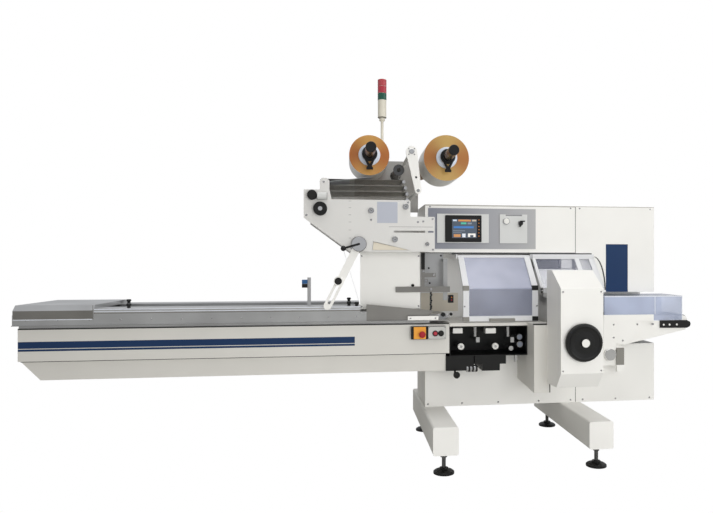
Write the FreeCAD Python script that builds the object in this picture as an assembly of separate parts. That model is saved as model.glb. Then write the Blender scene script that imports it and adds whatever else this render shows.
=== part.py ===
import FreeCAD
import Part
import math
import os
from FreeCAD import Vector

# Horizontal flow wrapper. X runs along the product line towards the discharge, Y across it
# (negative towards the operator) and Z up. All sizes in millimetres.

# Levelling feet and foot beams
FOOT_X = (523.0, 1402.0)
FOOT_Y = (-430.0, 430.0)
PAD_PROFILE = ((0, 0), (58, 0), (58, 9), (50, 15), (24, 22), (24, 30), (0, 30))
STUD_RADIUS = 11.0
NUT_RADIUS = 19.0
NUT_Z = (88.0, 106.0)
BEAM_Z = (116.0, 270.0)
BEAM_Y = (-505.0, 510.0)
BEAM_HALF_WIDTH = 70.0
BEAM_CORNER = 12.0

# Cabinets
FRONT_Y = -35.0
REAR_Y = 380.0
BASE_X = (470.0, 1432.0)
BASE_TOP = 800.0
WALL_Y = 210.0
HOUSING_Z = (1216.0, 1515.0)
CABINET_X = (1432.0, 1964.0)
PASSAGE_Y = 160.0
PASSAGE_Z = (636.0, 967.0)
CABINET_CORNER = 5.0

# Control panel
INSET_X = (488.0, 1170.0)
INSET_Z = (1241.0, 1492.0)
INSET_DEPTH = 3.0
SCREEN_PLATE_X = (541.0, 870.0)
BUTTON_PLATE_X = (936.0, 1116.0)
PLATE_Z = (1276.0, 1459.0)
PLATE_DEPTH = 5.0
SCREEN_X = (592.0, 820.0)
SCREEN_Z = (1283.0, 1448.0)
SCREEN_DEPTH = 8.0

# Infeed conveyor
SKIRT_X = (-1734.0, 584.0)
SKIRT_HALF = 250.0
SKIRT_Z = (630.0, 806.0)
TROUGH_BODY = ((-1731, 630), (-1631, 526), (566, 526), (566, 630))
TROUGH_HALF = 230.0
SHEET = 3.0
RIM = 25.0
PAN_X = (-1756.0, 586.0)
PAN_HALF = 262.0
LIP_HALF = 270.0
LIP_Z = (820.0, 824.0)
NECK_HALF = 240.0
PAN_WALL_TOP = 878.0
PAN_WALL_END = 105.0
DECK_Z = (842.0, 846.0)
DECK_HALF = 119.0
SLOT_HALF = 16.0
CHAIN_X = (-1640.0, 100.0)
CHAIN_Z = 790.0
CHAIN_RADIUS = 60.0
CHAIN_DEPTH = 12.0
CHAIN_HALF = 10.0
CHAIN_SLOT_START = 20.0
CHAIN_SLOT_GAP = 10.0
GUIDE_HALF = 8.0
RAIL_X = (-1352.0, 70.0)
RAIL_TOP = 906.0
RAIL_INNER = 120.0
TAIL_X = (-1752.0, -1352.0)
TAIL_HALF = 266.0
TAIL_Z = (850.0, 901.0, 929.0)
TAIL_KNEE_SHEET = 2.0
TAIL_TOP_SHEET = 4.0
TAIL_END_GAP = 6.0
TAIL_NOTCH = 10.0
POST_X = (-234.0, -214.0)
POST_Y = (-136.0, -124.0)
POST_TOP = 1070.0
POST_HEAD = ((-263.0, -234.0), (-150.0, -118.0), (1012.0, 1056.0))

# Operator boxes on the infeed
BOX_DEPTH = 32.0
BOX_Y = -SKIRT_HALF - BOX_DEPTH
BOX_Z = (717.0, 790.0)
STOP_BOX_X = (359.0, 453.0)
PUSH_BOX_X = (456.0, 559.0)
STOP_CENTRE = (420.0, 746.0)
STOP_STEM = 8.0
STOP_BORE = 8.05
STOP_BORE_DEPTH = 26.0
STOP_STEM_DEPTH = 16.0
STOP_PROFILE = ((0, 11), (14, 11), (18, 14), (19, 19), (16, 24), (9, 27), (0, 28))

# Film station
PLATE_OUTLINE = (
    (-243, 1405), (-243, 1563), (-155, 1563), (-155, 1612), (-142, 1629), (-115, 1629), (-102, 1612),
    (-102, 1563), (-90, 1510), (351, 1510), (351, 1417), (491, 1417), (491, 1218), (11, 1218),
)
REAR_OUTLINE = tuple((min(x, 470), z) for x, z in PLATE_OUTLINE)
PLATE_Y = (297.0, 305.0)
PLATE_CORNER = 5.0
PLATE_SLOT = ((263.0, 1332.0), (480.0, 1332.0), 5.5)
PLATE_WINDOW = ((141, 1276), (231, 1256), (352, 1226), (136, 1226))
TIE_RADIUS = 14.0
TIES = ((-196.0, 1531.0), (-210.0, 1400.0), (324.0, 1473.0), (129.0, 1449.0), (263.0, 1288.0))
FLOOR_X = (100.0, 470.0)
FLOOR_Z = (1219.0, 1225.0)
KNOBS = (
    (-196, 1531, 27, 30), (-152, 1456, 38, 26), (129, 1449, 16, 14), (324, 1473, 16, 14),
    (263, 1288, 16, 14), (447, 1262, 11, 10),
)
BARREL_X = (-168.0, -114.0)
BARREL_Z = 1526.0
BARREL_RADIUS = 20.0
CLAMP = (61.0, 1260.0)
CLAMP_RADIUS = 42.0
LEVER_END = (-25.0, 1235.0)
BALL_RADIUS = 15.0
LEVER_RADIUS = 6.0
LEVER_DEPTH = 8.0
CLAMP_DEPTH = 26.0

# Unwind stand
BACK_PLATE_Y = (285.0, 297.0)
BACK_OUTLINE = ((98, 1490), (98, 1815), (110, 1827), (463, 1827), (590, 1830), (632, 1783), (590, 1738),
                (463, 1700), (463, 1490))
SPINDLE_LEFT = (125.0, 1789.0)
SPINDLE_RIGHT = (585.0, 1783.0)
SPINDLE_RADIUS = 29.0
SPINDLE_FRONT = -409.0
SPINDLE_NOSE = 5.0
REEL_HALF = 143.0
REEL_BORE = 29.05
LEFT_RADIUS = 118.0
RIGHT_RADIUS = 137.0
CORE_RADIUS = 62.0
CORE_STEP = 10.0
COLLAR_RADIUS = 40.0
COLLAR_Y = (-188.0, -153.0)
REEL_LEVER_HALF = 9.0
REEL_LEVER_DROP = 88.0
REEL_LEVER_Y = (-188.0, -174.0)
REEL_LEVER_SINK = 5.0
LINK_TOP = (358.0, 1787.0, 32.0)
LINK_BOTTOM = (396.0, 1566.0, 18.0)
LINK_Y = (-305.0, -290.0)
LINK_SHAFT = 12.0
GUIDE_ROLLER = 22.0
ROLLER_TOP = (-134.0, 1607.0)
ROLLER_LOW = (-20.0, 1290.0)
WEB_HALF = 125.0
WEB_THICK = 1.2
WEB_LIFT = 0.3
WEB_LEAN = 17.0
WEB_DROP = 0.29
WEB_ARC = (97.0, 199.0)
WEB_START = (141.0, 1664.5)
WEB_END = (62.0, 935.0)

# Slotted arm, guard panel and former
ARM_TOP = (55.0, 1249.0)
ARM_LOW = (-112.0, 916.0)
ARM_RADIUS = 22.0
ARM_SLOT = ((-36.0, 1068.0), (-104.0, 932.0), 7.0)
ARM_Y = (-317.0, -305.0)
ARM_KNOB = (-53.0, 1054.0, 26.0)
ARM_KNOB_DEPTH = 22.0
PANEL_X = (71.0, 423.0)
PANEL_Z = (885.0, 1219.0)
PANEL_Y = (-168.0, -165.0)
PLOUGH = ((105, 824), (105, 919), (492, 879), (440, 824))
PLOUGH_Y = (-253.0, -250.0)
GUIDE_PLATE_X = (338.0, 519.0)
GUIDE_PLATE_Z = (824.0, 851.0)
GUIDE_PLATE_Y = (-268.0, -262.0)
BAR_X = (277.0, 600.0)
BAR_Z = (982.0, 1015.0)
BAR_Y = (-176.0, -168.0)
STRIP_X = (429.0, 449.0)
STRIP_Z = (1008.0, 1219.0)
LINK_BLOCKS = ((466.0, 1040.0, 1060.0), (515.0, 1070.0, 1095.0))
LINK_BLOCK_EXTRA = 6.0
ROD_X = 486.0
ROD_BOTTOM = 868.0
ROD_SINK = 5.0
ROD_RADIUS = 6.0
WALL_PLATE_X = (470.0, 584.0)
WALL_PLATE_Y = (-20.0, -10.0)
WALL_PLATE_Z = (1000.0, 1216.0)
SENSOR_X = (571.0, 596.0)
SENSOR_Y = (-110.0, -92.0)
SENSOR_Z = (930.0, 1180.0)
SENSOR_TIE = 20.0

# Guard door and fixed guard over the end sealer
HINGE_Y = -62.0
HINGE_Z = 1192.0
HINGE_RADIUS = 11.0
PIN_RADIUS = 5.0
PIN_BORE = 5.05
PIN_DEPTH = 30.0
RAIL_BAR_X = (629.0, 1531.0)
RAIL_BAR_Y = (-57.0, -35.0)
RAIL_TONGUE_Y = -20.0
RAIL_BAR_Z = (1208.0, 1216.0)
DOOR_X = (668.0, 1120.0)
LUG_GAP = 5.0
LUG_WIDTH = 8.0
LUG_DROP = 12.0
LUG_X = (DOOR_X[0] - LUG_GAP - LUG_WIDTH, DOOR_X[0] - LUG_GAP)
LUG_RIGHT_X = (DOOR_X[1] + LUG_GAP, DOOR_X[1] + LUG_GAP + LUG_WIDTH)
LUG_Y = (-74.0, -50.0)
LUG_BOTTOM = HINGE_Z - LUG_DROP
DOOR_BAR = 35.0
DOOR_BEND = (-235.0, 1006.0)
DOOR_BOTTOM = 812.0
DOOR_BOTTOM_BAR = 30.0
DOOR_HALF = 8.0
PANE_HALF = 2.5
HANDLE_X = (823.0, 975.0)
HANDLE_DEPTH = 16.0
UPPER_GAP = 16.0
UPPER_X = (DOOR_X[1] + UPPER_GAP, 1535.0)
UPPER_BAR = 18.0
UPPER_BARS = ((UPPER_X[0], UPPER_X[0] + UPPER_BAR), (1407.0, 1435.0), (1500.0, UPPER_X[1]))
UPPER_HEAD_DROP = 14.0
UPPER_LOW_BAR = 30.0
UPPER_HEAD_Y = (-82.0, -45.0)

# End sealer
SEALER_X = (1128.0, 1366.0)
SEALER_OUTLINE = ((-382, 471), (-539, 474), (-610, 560), (-610, 1018), (-465, 1114), (-382, 1114))
SEALER_CORNER = 6.0
WHEEL_CENTRE = (1249.0, 729.0)
WHEEL_SHAFT = 10.0
WHEEL_BORE = 10.05
WHEEL_SHAFT_Y = -656.0
WHEEL_PROFILE = ((10.05, -6), (30, -6), (30, -16), (78, -18), (82, -8), (92, -6), (102, -14), (103, -24),
                 (98, -36), (88, -40), (80, -34), (60, -30), (24, -34), (22, -42), (10.05, -42))
COLUMN_X = (1052.0, 1146.0)
COLUMN_OUTLINE = ((-35, 433), (-382, 413), (-382, 806), (-35, 806))
LEDGE_X = (586.0, 1052.0)
LEDGE_Y = (-250.0, -35.0)
LEDGE_Z = (785.0, 803.0)
HEAD_GAP = 40.0
HEAD_X = (DOOR_X[1] + HEAD_GAP, 1400.0)
HEAD_OUTLINE = ((-215, 800), (210, 800), (210, 1115), (-95, 1115), (-215, 985))
HEAD_ARM_Y = (-382.0, -215.0)
HEAD_ARM_Z = (806.0, 950.0)
HEAD_TUNNEL_Y = (-120.0, 120.0)
HEAD_TUNNEL_Z = (825.0, 960.0)

# Drive bay under the working area
BAY_X = (586.0, 1052.0)
BAY_Y = (-250.0, -35.0)
BAY_Z = (610.0, 785.0)
BAY_WALL = 5.0
LOWER_BOXES = (
    ((566.0, 731.0), (-240.0, -35.0), (525.0, 610.0)),
    ((737.0, 925.0), (-240.0, -35.0), (560.0, 610.0)),
    ((782.0, 888.0), (-240.0, -35.0), (521.0, 560.0)),
)
BAY_RODS = ((748.0, 718.0, 12.0), (949.0, 715.0, 12.0))
BAY_BLOCKS = ((752.0, 774.0, 684.0, 714.0), (962.0, 983.0, 680.0, 711.0), (614.0, 670.0, 740.0, 769.0),
              (811.0, 871.0, 737.0, 766.0))
BAY_RINGS = ((662.0, 660.0, 19.0), (870.0, 659.0, 19.0), (1018.0, 712.0, 17.0), (1020.0, 668.0, 19.0),
             (965.0, 645.0, 14.0))
BAY_PART_Y = -205.0

# Discharge conveyor
SIDE_OUTLINE = ((1440, 644), (1722, 644), (2125, 732), (2125, 789), (1440, 789))
SIDE_Y = (124.0, 130.0)
BELT_X = (1480.0, 2106.0)
BELT_Z = 791.0
BELT_RADIUS = 36.0
BELT_THICK = 4.0
BELT_HALF = 115.0
BELT_LIFT = 0.3
BED_X = (1530.0, 2056.0)
BED_Z = (762.0, 822.7)
FOOT_BLOCK_X = (1500.0, 1700.0)
FOOT_BLOCK_Z = (636.0, 700.0)
COVER_X = (1584.0, 2103.0)
COVER_TOP = 947.0
COVER_WALL = 4.0
NOSE_OUTLINE = ((1949, 745), (1949, 792), (2130, 792), (2150, 782), (2155, 768), (2150, 753), (2130, 743))
NOSE_DEPTH = 8.0
GUSSET = ((1574, 615), (1574, 830), (1904, 830), (1904, 789), (1815, 789), (1815, 738), (1714, 642),
          (1657, 655), (1657, 615))
GUSSET_Y = (-140.0, -130.0)
UNIT_X = (1576.0, 1706.0)
UNIT_Z = (515.0, 636.0)
UNIT_DISC = (1617.0, 584.0, 39.0)
UNIT_DISC_DEPTH = 6.0
UNIT_BLOCK = ((1657.0, 1703.0), (-150.0, -130.0), (477.0, 625.0))

# Signal tower
TOWER_X = 218.0
TOWER_Y = 180.0
TOWER_PROFILE = ((0, 1790), (9, 1790), (9, 2064), (18, 2068), (18, 2087), (27, 2087), (27.5, 2331), (0, 2331))
TOWER_BRACKET = ((200.0, 236.0), (176.0, 285.0), (1790.0, 1806.0))


def box(x, y, z):
    return Part.makeBox(x[1] - x[0], y[1] - y[0], z[1] - z[0], Vector(x[0], y[0], z[0]))


def cylinder(start, direction, length, radius):
    return Part.makeCylinder(radius, length, Vector(*start), Vector(*direction))


def cylinder_y(centre, y, radius):
    return cylinder((centre[0], y[0], centre[1]), (0, 1, 0), y[1] - y[0], radius)


def polygon_face(points):
    return Part.Face(Part.makePolygon(list(points) + [points[0]]))


def plate_y(outline, y):
    face = polygon_face([Vector(x, y[0], z) for x, z in outline])
    return face.extrude(Vector(0, y[1] - y[0], 0))


def plate_x(outline, x):
    face = polygon_face([Vector(x[0], y, z) for y, z in outline])
    return face.extrude(Vector(x[1] - x[0], 0, 0))


def revolve(profile, origin, axis, radial):
    face = polygon_face([origin + radial * r + axis * h for r, h in profile])
    return face.revolve(origin, axis, 360)


def fuse(shapes):
    return shapes[0].multiFuse(shapes[1:]).removeSplitter()


def parallel_edges(shape, direction):
    straight = [e for e in shape.Edges if isinstance(e.Curve, Part.Line)]
    return [e for e in straight if abs(abs(e.tangentAt(e.FirstParameter).dot(direction)) - 1) < 1e-6]


def rounded(shape, radius, direction):
    return shape.makeFillet(radius, parallel_edges(shape, Vector(*direction)))


def slot_y(start, end, radius, y):
    return tapered_link((start[0], start[1], radius), (end[0], end[1], radius), y)


def tapered_link(first, second, y):
    dx, dz = second[0] - first[0], second[1] - first[1]
    length = math.hypot(dx, dz)
    lean = (first[2] - second[2]) / length
    rise = math.sqrt(1 - lean * lean)
    corners = []
    for x, z, radius, side in (first + (1,), second + (1,), second + (-1,), first + (-1,)):
        nx = (lean * dx - side * rise * dz) / length
        nz = (lean * dz + side * rise * dx) / length
        corners.append((x + radius * nx, z + radius * nz))
    ends = [cylinder_y(end[:2], y, end[2]) for end in (first, second)]
    return fuse([plate_y(corners, y)] + ends)


def loop_y(x, z, radius, depth, half):
    y = (-half, half)
    outer = slot_y((x[0], z), (x[1], z), radius, y)
    return outer.cut(slot_y((x[0], z), (x[1], z), radius - depth, y))


def levelling_pads():
    pads = [revolve(PAD_PROFILE, Vector(x, y, 0), Vector(0, 0, 1), Vector(1, 0, 0))
            for x in FOOT_X for y in FOOT_Y]
    return Part.makeCompound(pads)


def levelling_studs():
    studs = []
    for x in FOOT_X:
        for y in FOOT_Y:
            start = PAD_PROFILE[-1][1]
            stud = cylinder((x, y, start), (0, 0, 1), BEAM_Z[0] - start, STUD_RADIUS)
            corners = [Vector(x + NUT_RADIUS * math.cos(math.radians(a)),
                              y + NUT_RADIUS * math.sin(math.radians(a)), NUT_Z[0]) for a in range(0, 360, 60)]
            nut = polygon_face(corners).extrude(Vector(0, 0, NUT_Z[1] - NUT_Z[0]))
            studs.append(fuse([stud, nut]))
    return Part.makeCompound(studs)


def foot_beams():
    beams = []
    for x in FOOT_X:
        beam = box((x - BEAM_HALF_WIDTH, x + BEAM_HALF_WIDTH), BEAM_Y, BEAM_Z)
        beams.append(rounded(beam, BEAM_CORNER, (0, 1, 0)))
    return Part.makeCompound(beams)


def base_cabinet():
    outline = ((FRONT_Y, BEAM_Z[1]), (REAR_Y, BEAM_Z[1]), (REAR_Y, HOUSING_Z[0]), (WALL_Y, HOUSING_Z[0]),
               (WALL_Y, BASE_TOP), (FRONT_Y, BASE_TOP))
    return plate_x(outline, BASE_X)


def control_housing():
    return rounded(box(BASE_X, (FRONT_Y, REAR_Y), HOUSING_Z), CABINET_CORNER, (1, 0, 0))


def electrical_cabinet():
    body = box(CABINET_X, (FRONT_Y, REAR_Y), (BEAM_Z[1], HOUSING_Z[1]))
    body = rounded(body, CABINET_CORNER, (0, 0, 1))
    return body.cut(box(CABINET_X, (FRONT_Y, PASSAGE_Y), PASSAGE_Z))


def control_panel():
    inset_front = FRONT_Y - INSET_DEPTH
    plate_front = inset_front - PLATE_DEPTH
    pieces = [box(INSET_X, (inset_front, FRONT_Y), INSET_Z)]
    for x in (SCREEN_PLATE_X, BUTTON_PLATE_X):
        pieces.append(box(x, (plate_front, inset_front), PLATE_Z))
    return fuse(pieces)


def touchscreen():
    plate_front = FRONT_Y - INSET_DEPTH - PLATE_DEPTH
    screen = box(SCREEN_X, (plate_front - SCREEN_DEPTH, plate_front), SCREEN_Z)
    return rounded(screen, CABINET_CORNER, (0, 1, 0))


def rear_wall():
    """Room taken by the rear wall of the working area."""
    return box(BASE_X, (WALL_Y, REAR_Y), (BASE_TOP, HOUSING_Z[0]))


def infeed_prism(inset):
    """Skirt and lower body as one prism, set in by the given amount and cut to the cabinet it is bolted to."""
    skirt_x = (SKIRT_X[0] + inset, SKIRT_X[1] - inset)
    skirt_half = SKIRT_HALF - inset
    skirt_z = (SKIRT_Z[0] + inset, SKIRT_Z[1])
    (x0, z0), (x1, z1), (x2, _), (_, z3) = TROUGH_BODY
    slope = inset * math.tan(math.radians(22.5))
    outline = ((x0 + inset, z0 + 2 * inset), (x0 + inset, z0 + slope), (x1 + slope, z1 + inset),
               (x2 - inset, z1 + inset), (x2 - inset, z3 + 2 * inset))
    if inset == 0:
        outline = TROUGH_BODY
    half = TROUGH_HALF - inset
    prism = fuse([box(skirt_x, (-skirt_half, skirt_half), skirt_z), plate_y(outline, (-half, half))])
    corner = box((BASE_X[0] - inset, BASE_X[1]), (FRONT_Y - inset, REAR_Y), (BEAM_Z[1], BASE_TOP + SHEET + inset))
    return prism.cut(corner).cut(rear_wall())


def infeed_body():
    shell = infeed_prism(0).cut(infeed_prism(SHEET))
    rim_z = (SKIRT_Z[1] - SHEET, SKIRT_Z[1])
    rim = box(SKIRT_X, (-SKIRT_HALF, SKIRT_HALF), rim_z)
    opening = box((SKIRT_X[0] + RIM, BASE_X[0] - RIM), (RIM - SKIRT_HALF, SKIRT_HALF - RIM), rim_z)
    corner = box(BASE_X, (FRONT_Y, REAR_Y), rim_z)
    return fuse([shell, rim.cut(opening).cut(corner).cut(rear_wall())])


def infeed_pan():
    pieces = [box(PAN_X, (-LIP_HALF, LIP_HALF), LIP_Z)]
    for side in (-1, 1):
        wall_y = sorted((side * PAN_HALF, side * (PAN_HALF - SHEET)))
        neck_y = sorted((side * NECK_HALF, side * (NECK_HALF - SHEET)))
        rib_y = sorted((side * DECK_HALF, side * (DECK_HALF - SHEET)))
        pieces.append(box((PAN_X[0], PAN_WALL_END), wall_y, (LIP_Z[1], PAN_WALL_TOP)))
        pieces.append(box((SKIRT_X[0], BASE_X[0]), neck_y, (SKIRT_Z[1], LIP_Z[0])))
        pieces.append(box(PAN_X, rib_y, (LIP_Z[1], DECK_Z[0])))
        deck_y = sorted((side * DECK_HALF, side * SLOT_HALF))
        pieces.append(box(PAN_X, deck_y, DECK_Z))
    pieces.append(box((PAN_X[0], PAN_X[0] + SHEET), (-PAN_HALF, PAN_HALF), (LIP_Z[1], PAN_WALL_TOP)))
    guide_top = CHAIN_Z + CHAIN_RADIUS - CHAIN_DEPTH
    pieces.append(box(CHAIN_X, (-GUIDE_HALF, GUIDE_HALF), (LIP_Z[1], guide_top)))
    pan = fuse(pieces).cut(rear_wall())
    for x in CHAIN_X:
        reach = CHAIN_RADIUS + CHAIN_SLOT_GAP
        side = math.copysign(1, x)
        slot_x = sorted((x + side * CHAIN_SLOT_START, x + side * reach))
        pan = pan.cut(box(slot_x, (-SLOT_HALF, SLOT_HALF), (LIP_Z[0], LIP_Z[1])))
    return pan


def infeed_chain():
    return loop_y(CHAIN_X, CHAIN_Z, CHAIN_RADIUS, CHAIN_DEPTH, CHAIN_HALF)


def infeed_side_rails():
    outline = ((PAN_HALF, PAN_WALL_TOP), (PAN_HALF, RAIL_TOP), (RAIL_INNER, RAIL_TOP), (RAIL_INNER, DECK_Z[1]),
               (RAIL_INNER - SHEET, DECK_Z[1]), (RAIL_INNER - SHEET, RAIL_TOP + SHEET),
               (PAN_HALF + 1, RAIL_TOP + SHEET), (PAN_HALF + 1, PAN_WALL_TOP))
    rails = [plate_x([(side * y, z) for y, z in outline], RAIL_X) for side in (-1, 1)]
    return Part.makeCompound(rails)


def infeed_tail_cover():
    low, knee, top = TAIL_Z
    bevel = top - knee
    outer = ((-TAIL_HALF, low), (-TAIL_HALF, knee), (bevel - TAIL_HALF, top), (TAIL_HALF - bevel, top),
             (TAIL_HALF, knee), (TAIL_HALF, low))
    half = PAN_HALF
    inner_knee = knee - TAIL_KNEE_SHEET
    inner_top = top - TAIL_TOP_SHEET
    inner = ((-half, low), (-half, inner_knee), (bevel - half, inner_top), (half - bevel, inner_top),
             (half, inner_knee), (half, low))
    cavity = plate_x(inner, (TAIL_X[0] + SHEET, TAIL_X[1] - SHEET))
    pan_end = box((PAN_X[0], TAIL_X[0] + TAIL_END_GAP), (-PAN_HALF, PAN_HALF), (low, PAN_WALL_TOP))
    channel = box((TAIL_X[1] - TAIL_NOTCH, TAIL_X[1]), (-RAIL_INNER, RAIL_INNER), (low, RAIL_TOP))
    pan_walls = box((TAIL_X[1] - TAIL_NOTCH, TAIL_X[1]), (-PAN_HALF, PAN_HALF), (low, PAN_WALL_TOP))
    return plate_x(outer, TAIL_X).cut(cavity).cut(pan_end).cut(channel).cut(pan_walls)


def product_sensor_post():
    post = box(POST_X, POST_Y, (RAIL_TOP + SHEET, POST_TOP))
    return fuse([post, box(*POST_HEAD)])


def operator_boxes():
    stop_box = box(STOP_BOX_X, (BOX_Y, -SKIRT_HALF), BOX_Z)
    bore = cylinder_y(STOP_CENTRE, (BOX_Y, BOX_Y + STOP_BORE_DEPTH), STOP_BORE)
    push_box = box(PUSH_BOX_X, (BOX_Y, -SKIRT_HALF), BOX_Z)
    return Part.makeCompound([stop_box.cut(bore), push_box])


def emergency_stop_button():
    origin = Vector(STOP_CENTRE[0], BOX_Y, STOP_CENTRE[1])
    head = revolve(STOP_PROFILE, origin, Vector(0, -1, 0), Vector(1, 0, 0))
    stem = cylinder_y(STOP_CENTRE, (BOX_Y - STOP_PROFILE[0][1], BOX_Y + STOP_STEM_DEPTH), STOP_STEM)
    return fuse([head, stem])


def film_front_plate():
    y = (-PLATE_Y[1], -PLATE_Y[0])
    plate = rounded(plate_y(PLATE_OUTLINE, y), PLATE_CORNER, (0, 1, 0))
    plate = plate.cut(slot_y(*PLATE_SLOT, y))
    return plate.cut(plate_y(PLATE_WINDOW, y))


def film_rear_frame():
    pieces = [plate_y(REAR_OUTLINE, PLATE_Y)]
    for tie in TIES:
        pieces.append(cylinder_y(tie, (-PLATE_Y[0], PLATE_Y[0]), TIE_RADIUS))
    pieces.append(box(FLOOR_X, (-PLATE_Y[0], PLATE_Y[0]), FLOOR_Z))
    return fuse(pieces)


def film_plate_knobs():
    front = -PLATE_Y[1]
    knobs = [cylinder_y((x, z), (front - depth, front), radius) for x, z, radius, depth in KNOBS]
    barrel_start = (BARREL_X[0], front - BARREL_RADIUS, BARREL_Z)
    knobs.append(cylinder(barrel_start, (1, 0, 0), BARREL_X[1] - BARREL_X[0], BARREL_RADIUS))
    lever_y = (front - CLAMP_DEPTH - LEVER_DEPTH, front - CLAMP_DEPTH)
    clamp = cylinder_y(CLAMP, (lever_y[1], front - (ARM_Y[1] - ARM_Y[0])), CLAMP_RADIUS)
    lever = slot_y(CLAMP, LEVER_END, LEVER_RADIUS, lever_y)
    ball = Part.makeSphere(BALL_RADIUS, Vector(LEVER_END[0], lever_y[0], LEVER_END[1]))
    knobs.append(fuse([clamp, lever, ball]))
    return Part.makeCompound(knobs)


def unwind_back_plate():
    return plate_y(BACK_OUTLINE, BACK_PLATE_Y)


def unwind_spindles():
    bars = []
    for centre in (SPINDLE_LEFT, SPINDLE_RIGHT):
        profile = ((0, SPINDLE_FRONT), (SPINDLE_RADIUS - SPINDLE_NOSE, SPINDLE_FRONT),
                   (SPINDLE_RADIUS, SPINDLE_FRONT + SPINDLE_NOSE), (SPINDLE_RADIUS, BACK_PLATE_Y[0]),
                   (0, BACK_PLATE_Y[0]))
        bars.append(revolve(profile, Vector(centre[0], 0, centre[1]), Vector(0, 1, 0), Vector(1, 0, 0)))
    for centre in (ROLLER_TOP, ROLLER_LOW):
        bars.append(cylinder_y(centre, (-PLATE_Y[0], PLATE_Y[0]), GUIDE_ROLLER))
    return Part.makeCompound(bars)


def reel(centre, radius):
    face = -REEL_HALF
    profile = ((REEL_BORE, COLLAR_Y[0]), (COLLAR_RADIUS, COLLAR_Y[0]), (COLLAR_RADIUS, face - CORE_STEP),
               (CORE_RADIUS, face - CORE_STEP), (CORE_RADIUS, face), (radius, face), (radius, -face),
               (CORE_RADIUS, -face), (CORE_RADIUS, CORE_STEP - face), (REEL_BORE, CORE_STEP - face))
    roll = revolve(profile, Vector(centre[0], 0, centre[1]), Vector(0, 1, 0), Vector(1, 0, 0))
    lever = box((centre[0] - REEL_LEVER_HALF, centre[0] + REEL_LEVER_HALF), REEL_LEVER_Y,
                (centre[1] - REEL_LEVER_DROP, centre[1] - COLLAR_RADIUS + REEL_LEVER_SINK))
    return fuse([roll, lever])


def reel_left():
    return reel(SPINDLE_LEFT, LEFT_RADIUS)


def reel_right():
    return reel(SPINDLE_RIGHT, RIGHT_RADIUS)


def bearing_link():
    link = tapered_link(LINK_TOP, LINK_BOTTOM, LINK_Y)
    rods = [cylinder_y(end[:2], (LINK_Y[1], BACK_PLATE_Y[0]), LINK_SHAFT) for end in (LINK_TOP, LINK_BOTTOM)]
    return fuse([link] + rods)


def film_web():
    radius = GUIDE_ROLLER + WEB_LIFT + WEB_THICK / 2
    path = [WEB_START]
    steps = 6
    for n in range(steps + 1):
        angle = math.radians(WEB_ARC[0] + n * (WEB_ARC[1] - WEB_ARC[0]) / steps)
        reach = radius / math.cos(math.radians((WEB_ARC[1] - WEB_ARC[0]) / steps / 2))
        path.append((ROLLER_TOP[0] + reach * math.cos(angle), ROLLER_TOP[1] + reach * math.sin(angle)))
    lean = math.cos(math.radians(WEB_LEAN))
    path.append((ROLLER_LOW[0] - radius * lean, ROLLER_LOW[1] - radius * WEB_DROP))
    path.append(WEB_END)
    wire = Part.makePolygon([Vector(x, -WEB_HALF, z) for x, z in path])
    strip = wire.makeOffset2D(WEB_THICK / 2, 2, False, True)
    other = wire.makeOffset2D(-WEB_THICK / 2, 2, False, True)
    a = [v.Point for v in strip.OrderedVertexes]
    b = [v.Point for v in other.OrderedVertexes]
    if (a[0] - b[0]).Length > (a[0] - b[-1]).Length:
        b.reverse()
    return polygon_face(a + b[::-1]).extrude(Vector(0, 2 * WEB_HALF, 0))


def slotted_arm():
    arm = slot_y(ARM_TOP, ARM_LOW, ARM_RADIUS, ARM_Y).cut(slot_y(*ARM_SLOT, ARM_Y))
    knob = cylinder_y(ARM_KNOB[:2], (ARM_Y[0] - ARM_KNOB_DEPTH, ARM_Y[0]), ARM_KNOB[2])
    return fuse([arm, knob])


def side_guard_panel():
    return box(PANEL_X, PANEL_Y, PANEL_Z)


def former_plates():
    rear = plate_y(PLOUGH, (-PLOUGH_Y[1], -PLOUGH_Y[0])).cut(rear_wall())
    ploughs = [plate_y(PLOUGH, PLOUGH_Y), rear]
    return Part.makeCompound(ploughs + [box(GUIDE_PLATE_X, GUIDE_PLATE_Y, GUIDE_PLATE_Z)])


def former_linkage():
    bar = box(BAR_X, BAR_Y, BAR_Z)
    strip = box(STRIP_X, BAR_Y, STRIP_Z)
    pieces = [bar, strip]
    for x1, z0, z1 in LINK_BLOCKS:
        pieces.append(box((STRIP_X[0], x1), (BAR_Y[0], BAR_Y[1] + LINK_BLOCK_EXTRA), (z0, z1)))
    rod_length = BAR_Z[0] - ROD_BOTTOM + ROD_SINK
    pieces.append(cylinder((ROD_X, sum(BAR_Y) / 2, ROD_BOTTOM), (0, 0, 1), rod_length, ROD_RADIUS))
    return fuse(pieces)


def work_area_fittings():
    wall = box(WALL_PLATE_X, WALL_PLATE_Y, WALL_PLATE_Z)
    post = box(SENSOR_X, SENSOR_Y, SENSOR_Z)
    tie = box(SENSOR_X, (SENSOR_Y[0], WALL_PLATE_Y[0]), (SENSOR_Z[1] - SENSOR_TIE, SENSOR_Z[1]))
    return fuse([wall, post, tie])


def bent_strip(half):
    """Cross-section of a guard leaf: a sloping limb from the hinge and a vertical limb below the bend."""
    (y0, z0), (y1, z1) = (HINGE_Y, HINGE_Z), DOOR_BEND
    length = math.hypot(y1 - y0, z1 - z0)
    ny, nz = (z1 - z0) / length * half, (y0 - y1) / length * half
    slope = (z1 - z0) / (y1 - y0)
    outer_z = z0 + nz + slope * (y1 - half - (y0 + ny))
    inner_z = z0 - nz + slope * (y1 + half - (y0 - ny))
    return ((y0 + ny, z0 + nz), (y1 - half, outer_z), (y1 - half, DOOR_BOTTOM), (y1 + half, DOOR_BOTTOM),
            (y1 + half, inner_z), (y0 - ny, z0 - nz))


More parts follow.
